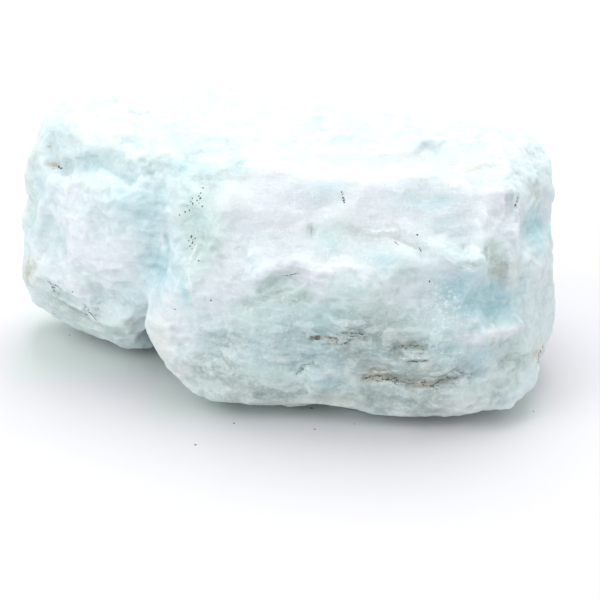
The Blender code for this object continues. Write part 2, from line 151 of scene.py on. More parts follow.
# Colour patches: (tint, side, middle, reach across and up, strength).
PATCHES = (
    # left lobe, from its top down
    ("white", "picture", (-33, 20), (8, 3), 0.9),
    ("blue", "picture", (-41, 17.6), (3.2, 5), 0.45),
    ("green", "picture", (-38, 17.4), (2.4, 2), 0.6),
    ("grey", "picture", (-44.4, 13), (1.6, 3), 0.5),
    ("green", "picture", (-45, 8.4), (1.5, 3.4), 0.8),
    ("tan", "picture", (-41.8, 15.4), (0.9, 0.9), 0.8),
    ("tan", "picture", (-41, 12.6), (1.6, 1.1), 0.9),
    ("dark", "picture", (-40.2, 12.1), (0.9, 0.6), 0.9),
    # These five patches along the groove under the top rim are partly the stone's aqua and partly painted
    # shade in that groove.
    ("blue", "picture", (-34, 12.8), (5, 1.8), 0.55),
    ("grey", "picture", (-35, 13.4), (2.2, 0.8), 0.35),
    ("blue", "picture", (-30, 13.8), (1.6, 1.2), 0.5),
    ("green", "picture", (-25, 13), (6, 2), 0.5),
    ("blue", "picture", (-27, 10.6), (5, 2.4), 0.45),
    ("white", "picture", (-38, 8), (2.4, 2.6), 0.8),
    ("blue", "picture", (-32, 4), (5, 6), 0.4),
    ("white", "picture", (-36, 0), (7, 6), 0.75),
    ("white", "picture", (-43, -2), (2.4, 4), 0.6),
    ("blue", "picture", (-43, 8), (1.6, 3), 0.5),
    ("blue", "picture", (-28, 5), (6, 7), 0.5),
    ("green", "picture", (-44, 4), (1.1, 3), 0.7),
    ("white", "picture", (-31, -4.6), (5.5, 1.4), 0.9),
    ("white", "picture", (-38, -3.4), (3.6, 2), 0.75),
    ("white", "picture", (-37, -7.4), (3, 1.8), 0.6),
    ("white", "picture", (-31, -3), (4, 4), 0.5),
    ("tan", "picture", (-45.2, -5.2), (1.5, 2), 0.7),
    ("grey", "picture", (-45.2, -5.2), (1.5, 2.4), 0.5),
    ("cream", "picture", (-45, -5), (2.2, 3.4), 0.9),
    ("green", "picture", (-36, -5.6), (3, 2), 0.5),
    ("blue", "picture", (-29, -9.4), (5, 1.7), 0.45),
    # The green and grey on the lobe's downward chamfer are partly its own colour and partly painted shade.
    ("green", "picture", (-40.5, -10.2), (4, 1.8), 1.1),
    ("green", "picture", (-36, -12.8), (4.4, 2), 1.1),
    ("green", "picture", (-31, -15), (4.4, 1.8), 1.0),
    ("grey", "picture", (-38, -11.6), (8, 2.4), 0.55),
    ("cream", "picture", (-38, -12), (10, 2.4), 0.4),
    ("tan", "picture", (-28, -13.8), (2.2, 0.9), 0.7),
    ("white", "picture", (-27.4, -15.4), (2.4, 1.6), 0.7),
    ("dark", "picture", (-41, -8.2), (1.4, 1), 0.7),
    ("dark", "picture", (-35, -12.2), (1.4, 1.2), 0.7),
    # valley and seam between the lobe and the main block
    # Partly painted shade: the band under the top rim.
    ("blue", "picture", (-18.5, 11.4), (6, 2.4), 0.6),
    ("blue", "picture", (-25.4, 4), (4.4, 8), 0.65),
    ("blue", "picture", (-23, -5), (4.6, 5.4), 0.8),
    ("blue", "picture", (-21.6, -1), (3, 5), 0.5),
    ("green", "picture", (-16.6, 2), (4.4, 10), 0.85),
    ("blue", "picture", (-16.6, 3), (3.4, 9), 0.35),
    ("grey", "picture", (-16, 9.6), (5, 2.4), 0.4),
    ("grey", "picture", (-17, -1), (3, 4), 0.45),
    ("blue", "picture", (-10.4, 12.4), (2.4, 2), 0.7),
    ("grey", "picture", (-10.4, 12.2), (2.2, 1.6), 0.45),
    ("white", "picture", (-24.2, -2.4), (1, 0.9), 0.6),
    # foot and left ridge of the main block
    ("white", "picture", (-23, -12), (2.4, 2.4), 1.0),
    ("white", "picture", (-21.6, -15.4), (3, 2), 0.9),
    ("blue", "picture", (-19.6, -9), (0.9, 3.6), 0.75),
    ("cream", "picture", (-23.4, -17), (3, 4.4), 0.7),
    ("cream", "picture", (-19.6, -22), (3, 3), 0.7),
    ("white", "picture", (-20, -22), (1.6, 2.4), 0.6),
    ("white", "picture", (-15.6, -6.4), (2.8, 4), 1.0),
    ("white", "picture", (-12, -1), (2.4, 3), 0.6),
    ("grey", "picture", (-10.6, -5), (2.2, 1.6), 0.35),
    ("white", "picture", (-11, -9.4), (3, 1.8), 0.75),
    ("white", "picture", (-15.6, -11.6), (3, 1.2), 0.6),
    # upper slope and its rim
    ("white", "picture", (-6, 13), (8, 2.4), 0.9),
    ("white", "picture", (-8, 7), (4.4, 4), 0.5),
    ("lilac", "picture", (-2, 6), (11, 9), 0.8),
    ("lilac", "picture", (14, 4), (16, 6), 0.8),
    ("lilac", "picture", (27, 5), (6, 6), 0.6),
    ("lilac", "picture", (2, -3), (9, 5), 0.7),
    ("lilac", "picture", (-13, -5), (5, 8), 0.6),
    ("lilac", "picture", (24, 9.6), (10, 3), 0.4),
    ("white", "picture", (8, 9.6), (16, 2.2), 0.8),
    ("white", "picture", (18, 9.4), (8, 2.6), 0.8),
    ("lilac", "picture", (20, 13.4), (12, 1.8), 0.7),
    ("blue", "picture", (4, 13.8), (10, 1.6), 0.35),
    ("grey", "picture", (2.1, 1.6), (0.9, 1.3), 0.8),
    ("blue", "picture", (5, -1.2), (2.2, 2.6), 0.5),
    ("green", "picture", (5.4, 0.6), (4, 4), 0.6),
    ("lilac", "picture", (13, 1), (5, 2.4), 0.6),
    ("grey", "picture", (13, 1), (7, 2), 0.5),
    ("green", "picture", (2.6, -2.8), (1.6, 1.2), 0.5),
    ("blue", "picture", (3, 8), (6, 2.4), 0.4),
    ("white", "picture", (-6, -1.6), (5, 4), 0.3),
    ("white", "picture", (34.8, 2), (2.4, 4), 0.8),
    ("white", "picture", (23, 9.8), (6, 1.2), 0.9),
    ("white", "picture", (32.6, 5), (4.4, 5), 1.0),
    ("blue", "picture", (22, 5.4), (7, 2.4), 0.5),
    ("blue", "picture", (24, 2.4), (5, 2), 0.4),
    ("grey", "picture", (22, 11.4), (3, 0.8), 0.25),
    ("tan", "picture", (25.6, 12.6), (3, 0.8), 0.4),
    ("cream", "picture", (28, 12), (6, 1.8), 0.7),
    ("tan", "picture", (29.6, 11.8), (2.6, 1), 0.6),
    ("tan", "picture", (-3, 14), (2, 0.6), 0.35),
    # the top
    ("blue", "top", (-12, 6), (10, 7), 0.25),
    ("blue", "top", (8, 10), (10, 6), 0.3),
    ("blue", "top", (25, 8), (8, 6), 0.3),
    ("tan", "top", (30, 2), (5, 3), 0.4),
    # shoulder and brow
    ("white", "picture", (7, -5), (4.6, 1.8), 0.9),
    ("green", "picture", (8, -9.4), (7, 2), 0.6),
    ("grey", "picture", (8, -10.4), (6, 2), 0.35),
    ("blue", "picture", (13.6, -3), (3.6, 1.8), 0.6),
    ("green", "picture", (17, -5.4), (5, 1.8), 0.5),
    ("grey", "picture", (18.6, -0.9), (2.6, 0.8), 0.35),
    ("white", "picture", (25, -1), (5, 1), 0.4),
    ("white", "picture", (31, -0.6), (3, 1.1), 0.5),
    ("grey", "picture", (27.8, -3.8), (4, 1.3), 0.6),
    ("grey", "picture", (-2, -9.4), (6, 2.4), 0.5),
    ("green", "picture", (-2.6, -8.8), (4.4, 2.2), 0.9),
    # The two deep patches under the brow are painted shadow.
    ("deep", "picture", (-6, -8.6), (1.2, 0.8), 0.3),
    ("deep", "picture", (-2, -6.2), (2.2, 0.4), 0.6),
    # hollow under the brow, and the band below it
    ("blue", "picture", (26.4, -8.6), (4.4, 4.2), 0.9),
    ("white", "picture", (18, -9), (4, 3), 0.5),
    ("blue", "picture", (30, -10), (7.4, 4), 1.1),
    ("deep", "picture", (31.4, -9), (3.4, 1.8), 0.35),
    ("deep", "picture", (25.2, -6), (2.2, 1.4), 0.3),
    ("deep", "picture", (34, -10.4), (2.4, 1.4), 0.25),
    ("blue", "picture", (35.4, -12.8), (2.4, 1.4), 0.5),
    # The sugary specks here are painted glints.
    ("sugar", "picture", (24.6, -11), (3, 4), 1.0),
    ("white", "picture", (21, -10.4), (1.4, 2.4), 0.5),
    ("white", "picture", (28, -16.4), (3.4, 0.9), 1.0),
    ("white", "picture", (35.4, -15.4), (4.4, 1), 1.0),
    ("grey", "picture", (33.4, -17.4), (3.4, 1.2), 0.5),
    ("green", "picture", (32.6, -2.8), (2, 2.4), 0.8),
    ("cream", "picture", (33.8, -5), (2, 2.6), 0.8),
    ("grey", "picture", (33.4, -4.4), (2, 2.6), 0.5),
    ("tan", "picture", (34, -5.2), (1.4, 2), 0.5),
    ("grey", "picture", (33.6, -4.6), (2.2, 2.6), 0.35),
    ("cream", "picture", (35.6, -7), (1.6, 3), 0.8),
    # lower wall
    # The grey and green patches of the lower wall are partly its own teal-grey and partly painted shade under
    # the shoulder.
    ("green", "picture", (-8, -13), (5, 2.6), 0.6),
    ("grey", "picture", (-8, -11.4), (5, 2), 0.45),
    ("grey", "picture", (-12, -17), (7, 5), 0.6),
    ("grey", "picture", (-14, -22), (6, 3.4), 0.85),
    ("cream", "picture", (-12, -25), (7, 2), 0.5),
    ("grey", "picture", (0, -17), (10, 7), 0.65),
    ("grey", "picture", (12, -18), (10, 7), 0.95),
    ("grey", "picture", (20, -23), (9, 5), 0.95),
    ("grey", "picture", (22, -16), (4, 3), 0.5),
    ("blue", "picture", (22, -16.6), (6, 3), 0.7),
    ("blue", "picture", (-14, -16.6), (5, 3.4), 0.6),
    ("blue", "picture", (-4, -18), (12, 5), 0.6),
    ("deep", "picture", (1.8, -19.4), (5, 2.2), 0.45),
    ("deep", "picture", (13, -19.4), (5, 1.6), 0.4),
    ("blue", "picture", (3, -16), (11, 6), 0.9),
    ("blue", "picture", (15, -18.6), (8, 3.4), 0.6),
    ("deep", "picture", (5, -21.4), (4, 1.6), 0.4),
    ("grey", "picture", (2.4, -20), (4, 2), 0.5),
    ("grey", "picture", (7, -24), (4, 2), 0.5),
    ("grey", "picture", (23.4, -23.8), (4, 2), 0.5),
    ("grey", "picture", (22, -26), (5, 2), 0.8),
    ("grey", "picture", (35, -20.4), (4, 3.4), 0.6),
    ("green", "picture", (37, -19), (3, 4), 0.6),
    ("green", "picture", (30, -26), (5, 3), 0.7),
    ("green", "picture", (6, -12.6), (8, 2.4), 0.7),
    ("deep", "picture", (-12.4, -15.4), (2.6, 1.2), 0.3),
    ("deep", "picture", (28.4, -22), (4, 2), 0.55),
    ("blue", "picture", (31, -19.6), (6, 2.4), 0.65),
    ("blue", "picture", (25, -19), (5, 2), 0.85),
    ("blue", "picture", (8.6, -19.4), (5, 2), 0.5),
    ("blue", "picture", (3, -23.4), (3, 1.4), 0.5),
    ("deep", "picture", (6, -24.4), (3.4, 0.9), 0.6),
    ("white", "picture", (22, -19.2), (5, 0.4), 0.6),
    ("white", "picture", (12.6, -22), (3, 0.5), 0.7),
    ("green", "picture", (-4, -22.6), (8, 3), 0.7),
    ("grey", "picture", (-5, -26), (12, 2), 0.9),
    ("cream", "picture", (2, -27), (16, 2), 0.8),
    ("cream", "picture", (22, -28.4), (12, 2), 0.7),
    ("green", "picture", (6, -26), (12, 2.4), 1.0),
    ("grey", "picture", (14, -25.6), (9, 2.4), 0.8),
    ("green", "picture", (-14, -25.4), (4, 1.8), 0.8),
    ("grey", "picture", (17, -28), (9, 1.6), 0.85),
    ("white", "picture", (28.4, -26.8), (2.6, 2.2), 0.45),
    ("grey", "picture", (33, -25.4), (3, 3), 0.6),
    ("green", "picture", (35.6, -24), (2, 2), 0.6),
    ("cream", "picture", (5, -17), (4.4, 1.4), 0.9),
    ("tan", "picture", (4.4, -16.8), (3, 0.9), 0.9),
    ("cream", "picture", (18, -17.4), (4.4, 1.4), 0.9),
    ("tan", "picture", (18.4, -17), (3, 0.9), 0.8),
    ("cream", "picture", (16, -23.4), (8, 1.6), 0.9),
    ("tan", "picture", (13, -23), (3.4, 0.9), 0.9),
    ("tan", "picture", (20, -24.4), (4, 1), 0.9),
    ("white", "picture", (16.6, -16.4), (1.4, 0.9), 0.6),
    ("dark", "picture", (4.4, -16.6), (3, 0.7), 0.8),
    ("dark", "picture", (8.6, -16.4), (3, 1.4), 0.6),
    ("dark", "picture", (18.2, -18), (3, 0.7), 0.8),
    ("dark", "picture", (15.6, -23.4), (4, 0.8), 0.9),
    ("dark", "picture", (22, -24.2), (4, 1), 0.8),
    ("dark", "picture", (1, -21.4), (1.6, 0.8), 0.9),
    ("dark", "picture", (26.4, -23), (1.8, 0.7), 0.7),
    # right end
    ("grey", "picture", (39, 8), (2.2, 2.6), 0.45),
    ("cream", "picture", (39.6, 7.6), (1.6, 2.4), 0.6),
    ("white", "picture", (41, 12.8), (0.9, 2), 0.6),
    ("blue", "picture", (38.6, 2), (3.2, 4.4), 0.85),
    ("grey", "picture", (36.4, 4.4), (1, 2.4), 0.35),
    ("green", "picture", (39.2, -8), (2.6, 5), 0.6),
    ("white", "picture", (39.2, -8), (2, 5), 0.8),
    ("cream", "picture", (39.6, -19), (2.4, 3), 0.9),
    ("tan", "picture", (39.4, -19), (1.8, 1.6), 0.9),
    ("green", "picture", (38.8, -18.4), (2.4, 2), 0.7),
    ("grey", "picture", (41, -12), (0.9, 3), 0.4),
    ("blue", "right", (0, 24), (6, 4), 0.6),
    ("white", "right", (6, 14), (6, 5), 0.5),
    ("blue", "left", (6, 22), (5, 6), 0.4),
)

# How far a patch reaches into the stone, and all the tints.
PATCH_DEPTH = 8.0
TINTS = ("blue", "deep", "white", "grey", "green", "cream", "lilac", "tan", "dark", "sugar")

# How the edges of the patches wander: how far, and the size, seeds and octaves of the noise.
PATCH_WANDER = (
    (1.3, 6, (31, 37, 41), 2),
    (0.6, (2.2, 2.2, 1.2), (43, 47, 53), 3),
)

# Tints that the shape of the skin adds: (tint, cause, least and most of the cause, strength). Blue in hollows
# is painted shade, and white on swells is partly paler crushed crystal and partly painted highlight.
SHAPE_TINTS = (
    ("blue", "hollow", (0.1, 0.9), 0.15),
    ("white", "swell", (0.05, 0.6), 0.15),
    ("tan", "split", (0.2, 0.8), 0.5),
    ("dark", "split", (0.4, 0.9), 0.35),
)

# Tints of the sides that the picture doesn't show, in the same way. Below them are the slopes on which the
# front and the top count as shown, and the share of these tints that is left out there.
HIDDEN_TINTS = (
    ("blue", "clouds", (-0.1, 0.7), 0.6),
    ("white", "between_clouds", (0.05, 0.6), 0.7),
    ("grey", "grey_clouds", (0.0, 0.6), 0.6),
    ("green", "green_clouds", (0.1, 0.6), 0.4),
    ("tan", "tan_clouds", (0.45, 0.8), 0.5),
)
SHOWN_IN_FRONT = (-0.2, 0.4)
SHOWN_ON_TOP = (0.2, 0.6)
SHOWN_SHARE = 0.85
TAN_IN_HOLLOWS = 0.5

# Hollows and crests are found by setting the skin against itself, smoothed this many times.
HOLLOW_PASSES = 60
CREST_PASSES = 4
CREST_HEIGHT = (0.01, 0.09)

# Dark grains on the broad side: (across, up, radius) in the picture.
GRAINS = (
    (-16.2, 8.5, 0.11), (-16.5, 7.7, 0.09), (-16.6, 6.8, 0.14), (-17.9, 5.9, 0.14), (-17.4, 5.6, 0.08),
    (-18.4, 4.8, 0.12), (-16.3, 5.4, 0.08), (-17.9, 6.8, 0.07), (-19.2, 4.5, 0.08), (-16.9, 6, 0.06),
    (-17.2, 6.4, 0.06), (-16.8, 7.2, 0.06), (-18.8, 5.6, 0.06), (-20, 4, 0.06), (-18.2, 6.2, 0.07),
    (-18.1, 0.4, 0.16), (-17.9, -0.6, 0.2), (-18.3, -1.2, 0.12), (-17.6, -1, 0.08), (-16.9, -3.6, 0.1),
    (-17.8, -0.1, 0.1), (-17.5, 0.1, 0.06), (-18.5, -0.3, 0.06), (-18, -1.6, 0.06),
    (6.9, 7.8, 0.1), (7.1, 7.4, 0.08), (7.2, 6.9, 0.14), (7.3, 6.5, 0.16), (7.35, 6.1, 0.12),
    (19.5, 0.7, 0.11), (-40.2, 12, 0.2), (-39.8, 11.8, 0.15), (-37.9, -8.8, 0.1), (-41, -8.5, 0.1),
    (35.9, 5.6, 0.16), (-20.9, -11.7, 0.07), (21.6, -7.1, 0.1), (-1.2, 17.6, 0.1), (-14.9, -10.2, 0.07),
)

# Thin lines on the broad side, in the picture: dark threads of dirt in the splits, and one painted line of
# shadow under the brow.
THREADS = (
    ((1.9, -16.4), (3, -16.7), (4.3, -16.4)),
    ((4.6, -16.6), (6, -17.2), (6.8, -17.9)),
    ((7.4, -15.7), (10.6, -15.8)),
    ((6.4, -17.5), (7.6, -17.4), (8.8, -16.8)),
    ((16.2, -18), (17.6, -17.7), (20.6, -17.8)),
    ((18.2, -20.4), (21.2, -20.3)),
    ((10.8, -23.3), (12, -22.8), (13.8, -22.7)),
    ((13.6, -23.4), (15.2, -23.6), (17.4, -23.9)),
    ((14.6, -23), (16.4, -23.3)),
    ((19.6, -24.2), (21.4, -24.6), (23.2, -23.8)),
    ((20.6, -23.6), (22.6, -24.9)),
    ((24.6, -23.4), (25.8, -23), (27, -22.7)),
    ((0.1, -21.4), (1, -20.9), (2, -20.7)),
    ((-0.7, -22.5), (0.2, -21.9)),
    ((-41.8, -7.3), (-41, -8.5), (-40, -9.2)),
    ((-35.8, -11.2), (-34.9, -12.6), (-34, -13.3)),
    # This line is painted shadow under the brow.
    ((-2.6, -6.2), (-1.2, -5.9), (-0.4, -5.8)),
    ((36.3, 6.8), (35.9, 5.6), (36.1, 4.8)),
    ((15.9, -0.6), (16.3, -0.8)),
    ((19.2, -1.2), (19.8, -1.5), (20.2, -2)),
    ((40.6, -17.6), (39.9, -19), (39.6, -20.6)),
)

# The lips of small ledges, in the same way. They are raised in the skin, and their pale lines are painted
# highlight.
LIPS = (
    ((16.8, -19.9), (21.6, -19.8), (22.6, -19.2), (27.4, -18.9)),
    ((9.6, -22.4), (12, -22.2), (17.2, -22)),
    ((23.4, -2.4), (25.4, -3.8), (29.2, -5.4)),
    ((19.4, -12), (21.4, -10.9)),
    ((26, -16.2), (31, -15.6), (36, -14.8)),
    ((-33.6, -5), (-29.6, -4.6)),
    ((-40, -4.2), (-37.6, -3.2)),
    ((-44.6, -7), (-41, -9.4), (-37.4, -11.2), (-34, -13.4)),
    ((36.6, -6), (37.2, -3.8), (38.6, -3.2), (40.2, -4.6)),
    ((34.4, -0.8), (35.2, -3.6), (34.8, -6)),
    ((31.6, -1.4), (31.2, -4.2)),
    ((35.8, 8), (36.4, 4), (35.8, 0)),
    ((-18, -9), (-18.8, -4.6), (-17.2, -1)),
    ((4.6, -4.6), (8, -4.4), (10, -5)),
    ((30.6, 4.6), (31.8, 3.2), (33, 2.6)),
    ((12, 1.2), (16, 1.4)),
    ((-26.4, -16), (-24.4, -18.6), (-22, -21.6), (-20, -24.4)),
)

# How far from a line its distance is kept, how far a line fades past its ends, and where it fades along -Y.
LINE_RANGE = 2.0
LINE_END = 0.4
LINE_BACK = (-6, -4)

# Dust on the table, in the picture: (across, up, radius).
DUST = (
    (1.9, -28.2, 0.16), (2.5, -31.7, 0.13), (-17.4, -34.3, 0.13), (-11, -30.7, 0.09), (9.1, -30.8, 0.07),
    (38.9, -28.7, 0.1), (-38.4, -16, 0.08),
)

# What the stone covers on the table: middle and half size of the main block and of the lobe.
STONE_FOOT = (((10, 0, 0), (28, 17, 1)), ((-30, 6, 0), (12, 9, 1)))

# Tints of the mineral, as linear colours.
BODY = (0.695, 0.78, 0.79, 1)
WHITE = (0.76, 0.795, 0.825, 1)
BLUE = (0.50, 0.69, 0.725, 1)
DEEP = (0.33, 0.505, 0.55, 1)
GREY = (0.445, 0.52, 0.49, 1)
GREEN = (0.60, 0.72, 0.68, 1)
CREAM = (0.715, 0.725, 0.675, 1)
LILAC = (0.69, 0.71, 0.74, 1)
TAN = (0.50, 0.485, 0.43, 1)
DARK = (0.08, 0.08, 0.065, 1)
SUGAR = (0.92, 0.94, 0.96, 1)
SHADE = (0.72, 0.76, 0.76, 1)

# The order in which the tints are laid on: (tint, colour, amounts at which it starts and is whole).
TINT_LAYERS = (
    ("lilac", LILAC, 0.0, 0.8),
    ("white", WHITE, 0.2, 0.8),
    ("green", GREEN, 0.05, 1.05),
    ("cream", CREAM, 0.05, 1.05),
    ("blue", BLUE, 0.05, 1.05),
    ("grey", GREY, 0.05, 1.05),
    ("deep", DEEP, 0.05, 1.05),
)
TAN_LAYER = (0.3, 0.9)

# How strongly the textures break up the edges of the tints.
TINT_BREAKUP = (("mottle", 0.2), ("fibre", 0.22), ("fine", 0.1))
TAN_BREAKUP = (("mottle", 0.7), ("fibre", 0.6), ("fine", 0.5))

# Textures of the stone: the size of their features, their detail, roughness and stretch. The plates are flat
# cells, with a size and a stretch. The values of all of them lie around the middle.
STONE_TEXTURES = {
    "mottle": (4 * MM, 7, 0.6),
    "fine": (0.6 * MM, 4, 0.7),
    "fibre": (1.1 * MM, 5, 0.66, (0.22, 0.22, 1)),
    "wisps": (7 * MM, 6, 0.55, (0.4, 0.4, 1)),
    "veins": (5 * MM, 6, 0.62),
    "thread": (0.45 * MM, 4, 0.75, (0.3, 0.3, 1)),
    "flakes": (0.6 * MM, 4, 0.8),
    "pits": (0.5 * MM, 4, 0.7),
    "drift": (0.9 * MM, 4, 0.7),
    "gaps": (0.8 * MM, 3, 0.7),
}
PLATES = (1.2 * MM, (0.5, 0.5, 1))
TEXTURE_MIDDLE = 0.5

# What a texture or an amount gives: its least and most, and what these two give.
WISPS_TO_WHITE = (0.36, 0.64, 0.0, 0.6)
DULL_TO_PALE = (0.0, 0.9, 1.0, 0.5)
DULL_TO_CRISP = (0.1, 0.7, 0.3, 0.8)
VEIN_TO_SUGAR = (0.0, 0.012, 0.3, 0.0)
MOTTLE_TO_EDGE = (0.35, 0.65, 0.0, 0.25)
THREAD_TO_TAN = (0.36, 0.60, 0.35, 0.85)
THREAD_TO_DARK = (0.54, 0.59, 0.0, 1.0)
FLAKES_TO_SUGAR = (0.53, 0.58, 0.0, 0.8)
MOTTLE_TO_ROUGHNESS = (0.3, 0.7, 0.42, 0.68)

# Specks: (texture, how far from its middle they are whole), and how strong the pale and the shaded ones are.
SPECKS = (("fibre", 0.16), ("fine", 0.16), ("plates", 0.4))
SPECK_SUGAR = 0.3
SPECK_SHADE = 0.5

# Thin lines: half width, where they have faded out, how far they wander, and the texture at which gaps close.
LIP_LINE = (0.04, 0.24, 1.2, (0.40, 0.60))
LIP_STRENGTH = 0.5
THREAD_LINE = (0.02, 0.12, 1.0, (0.46, 0.55))

# Small dark grains: the texture that makes them ragged, its middle and reach, and how dark they are from just
# inside their edge to just outside it.
GRAIN_TEXTURE = (0.3 * MM, 2, 0.6)
GRAIN_MIDDLE = 0.55
GRAIN_RAGGED = 0.5 * MM
GRAIN_EDGE = (-0.02 * MM, 0.05 * MM, 0.85, 0.0)

# The stone's relief that is finer than its mesh: (texture, height, strength).
STONE_BUMPS = (
    ("fibre", 0.6 * MM, 0.25),
    ("pits", 0.3 * MM, 0.35),
    ("plates", 0.1 * MM, 0.5),
)
STONE_SHADER = {
    "IOR": 1.61,
    "Subsurface Weight": 0.5,
    "Subsurface Radius": (0.9, 1.15, 1.25),
    "Subsurface Scale": 1 * MM,
}

# The table, with half its side in metres. Close to the stone its colour has painted bounce light: a greener
# tint.
TABLE_HALF = 3.0
TABLE_TEXTURE = (50 * MM, 3, 0.5)
TABLE_COLOURS = ((0.775, 0.755, 0.78, 1), (0.79, 0.77, 0.795, 1))
TABLE_PAINTED_BOUNCE = (0.75, 0.785, 0.765, 1)
TABLE_PAINTED_BOUNCE_REACH = 8 * MM
TABLE_SHADER = {"Roughness": 0.6, "Specular IOR Level": 0.2}

# Soft boxes, with places and sizes in metres: (name, place, aim, size, power). The rest is lit by the world.
SOFT_BOXES = (
    ("overhead", (0.05, 0.2, 0.4), (0.05, 0.15, 0), 0.35, 0.75),
    ("from_left", (-0.38, -0.2, 0.28), (-0.02, 0, 0.02), 0.3, 0.48),
)
WORLD_COLOUR = (0.97, 1.0, 1.0, 1)
WORLD_STRENGTH = 0.83
GAMMA = 0.8
EXPOSURE = 0.2

# The axes of each side: across it, up it and into it. A line of sight onto it starts well outside the stone.
TILT = math.radians(CAMERA_ELEVATION) + math.atan(AIM_ABOVE_CENTRE / (CAMERA_DISTANCE * PIXELS_PER_METRE))
SIDES = {
    "picture": ((1, 0, 0), (0, math.sin(TILT), math.cos(TILT)), (0, math.cos(TILT), -math.sin(TILT))),
    "top": ((1, 0, 0), (0, 1, 0), (0, 0, -1)),
    "left": ((0, 1, 0), (0, 0, 1), (1, 0, 0)),
    "right": ((0, 1, 0), (0, 0, 1), (-1, 0, 0)),
}
OUTSIDE = 90


def smooth_step(values, low, high):
    share = np.clip((values - low) / (high - low), 0, 1)
    return share * share * (3 - 2 * share)


# ---- the skin ----


def new_skin(node):
    """An even, fine mesh of the node's solid."""
    skin = bpy.data.objects.new("stone_skin", node.data.copy())
    bpy.context.scene.collection.objects.link(skin)
    grid = skin.modifiers.new("grid", "REMESH")
    grid.mode = "VOXEL"
    grid.voxel_size = SKIN_GRID
    soften = skin.modifiers.new("soften", "SMOOTH")
    soften.factor, soften.iterations = SKIN_SMOOTHING
    bpy.context.view_layer.update()
    evaluated = skin.evaluated_get(bpy.context.evaluated_depsgraph_get())
    mesh = bpy.data.meshes.new_from_object(evaluated)
    skin.modifiers.clear()
    skin.data = mesh
    mesh.shade_smooth()
    return skin


def points_of(skin):
    flat = np.empty(len(skin.data.vertices) * 3)
    skin.data.vertices.foreach_get("co", flat)
    return flat.reshape(-1, 3)


def normals_of(skin):
    flat = np.empty(len(skin.data.vertices) * 3)
    skin.data.vertex_normals.foreach_get("vector", flat)
    return flat.reshape(-1, 3)


def move_points(skin, points):
    skin.data.vertices.foreach_set("co", points.ravel())
    skin.data.update()


def push(skin, heights):
    """Moves each point along its normal by its height in millimetres."""
    move_points(skin, points_of(skin) + normals_of(skin) * (heights * MM)[:, None])


def noise_at(points, size, seed, octaves):
    """Fractal noise with features of that size, in the points' own units, from about -1 to 1."""
    shift = Vector([seed * share for share in NOISE_SHIFT])
    scaled = points / np.broadcast_to(size, 3)
    return np.array([noise.fractal(Vector(p) + shift, NOISE_FALL, NOISE_STEP, octaves) for p in scaled])


def chip(skin, draw, count, reaches, depths, lean):
    """Flat chips all over, each along a plane that leans a little from the surface."""
    whole = points_of(skin)
    points = whole.copy()
    normals = normals_of(skin)
    tree = kdtree.KDTree(len(points))
    for i, point in enumerate(whole):
        tree.insert(point, i)
    tree.balance()
    for _ in range(count):
        middle = draw.randrange(len(points))
        normal = normals[middle] + np.array([draw.gauss(0, lean) for _ in range(3)])
        normal /= np.linalg.norm(normal)
        reach = draw.uniform(*reaches) * MM
        plane = whole[middle] - normals[middle] * draw.uniform(*depths) * MM
        found = tree.find_range(whole[middle], reach)
        near = np.array([i for _, i, _ in found])
        distance = np.array([d for _, _, d in found])
        over = np.clip((points[near] - plane) @ normal, 0, CHIP_MOST * MM)
        points[near] -= np.outer(over * np.clip(CHIP_EDGE * (1 - distance / reach), 0, 1), normal)
    move_points(skin, points)


def roughen(skin):
    """Lumps, level beds with sharp lips, fibres along the stone, and grain."""
    points = points_of(skin) / MM
    steep = 1 - np.abs(normals_of(skin)[:, 2])
    level = points[:, 2] + BED_WANDER * noise_at(points, *BED_NOISE) + BED_TILT * points[:, 0]
    bed = (level / BED_RISE) % 1.0
    out = np.where(bed < BED_LIP, bed / BED_LIP, (1 - bed) / (1 - BED_LIP))
    bedded = smooth_step(noise_at(points, *BED_PATCH_NOISE), *BED_PATCHES)
    bedded *= smooth_step(steep, *BED_STEEPNESS)
    heights = LUMP_HEIGHT * noise_at(points, *LUMP_NOISE)
    heights += BED_HEIGHT * (out - 0.5) * bedded
    heights += FIBRE_HEIGHT * noise_at(points, *FIBRE_NOISE)
    heights += GRAIN_HEIGHT * noise_at(points, *GRAIN_NOISE)
    push(skin, heights)


def tree_of(skin):
    return BVHTree.FromPolygons([v.co for v in skin.data.vertices], [p.vertices for p in skin.data.polygons])


def camera_place():
    elevation = math.radians(CAMERA_ELEVATION)
    return Vector(CAMERA_AIM) + Vector((0, -math.cos(elevation), math.sin(elevation))) * CAMERA_DISTANCE


def sight(place):
    """The line of sight from the camera through this place in the picture."""
    across, up, into = (Vector(axis) for axis in SIDES["picture"])
    below_centre = AIM_ABOVE_CENTRE / PIXELS_PER_METRE
    return across * place[0] * MM + up * (place[1] * MM + below_centre) + into * CAMERA_DISTANCE


def in_picture(points):
    """Each point's place in the picture, in millimetres right of and above the camera's aim."""
    across, up, into = np.array(SIDES["picture"])
    seen = points - np.array(camera_place()) / MM
    scale = CAMERA_DISTANCE / MM / (seen @ into)
    below_centre = AIM_ABOVE_CENTRE / PIXELS_PER_METRE / MM
    return np.stack([seen @ across * scale, seen @ up * scale - below_centre], axis=1)


def on_skin(tree, side, place):
    """Where the skin is, in millimetres, at this place of that side."""
    across, up, into = (Vector(axis) for axis in SIDES[side])
    if side == "picture":
        start = camera_place()
        direction = sight(place)
    else:
        start = (across * place[0] + up * place[1] - into * OUTSIDE) * MM
        direction = into
    hit = tree.ray_cast(start, direction.normalized())[0]
    return np.array(hit) / MM


def on_table(place):
    """Where the table is at this place in the picture, in metres."""
    start = camera_place()
    direction = sight(place)
    return start - direction * (start.z / direction.z)


def distance_to_line(points, line):
    nearest = np.full(len(points), np.inf)
    for start, end in zip(line, line[1:]):
        along = end - start
        share = np.clip((points - start) @ along / (along @ along), 0, 1)
        nearest = np.minimum(nearest, np.linalg.norm(points - start - share[:, None] * along, axis=1))
    return nearest


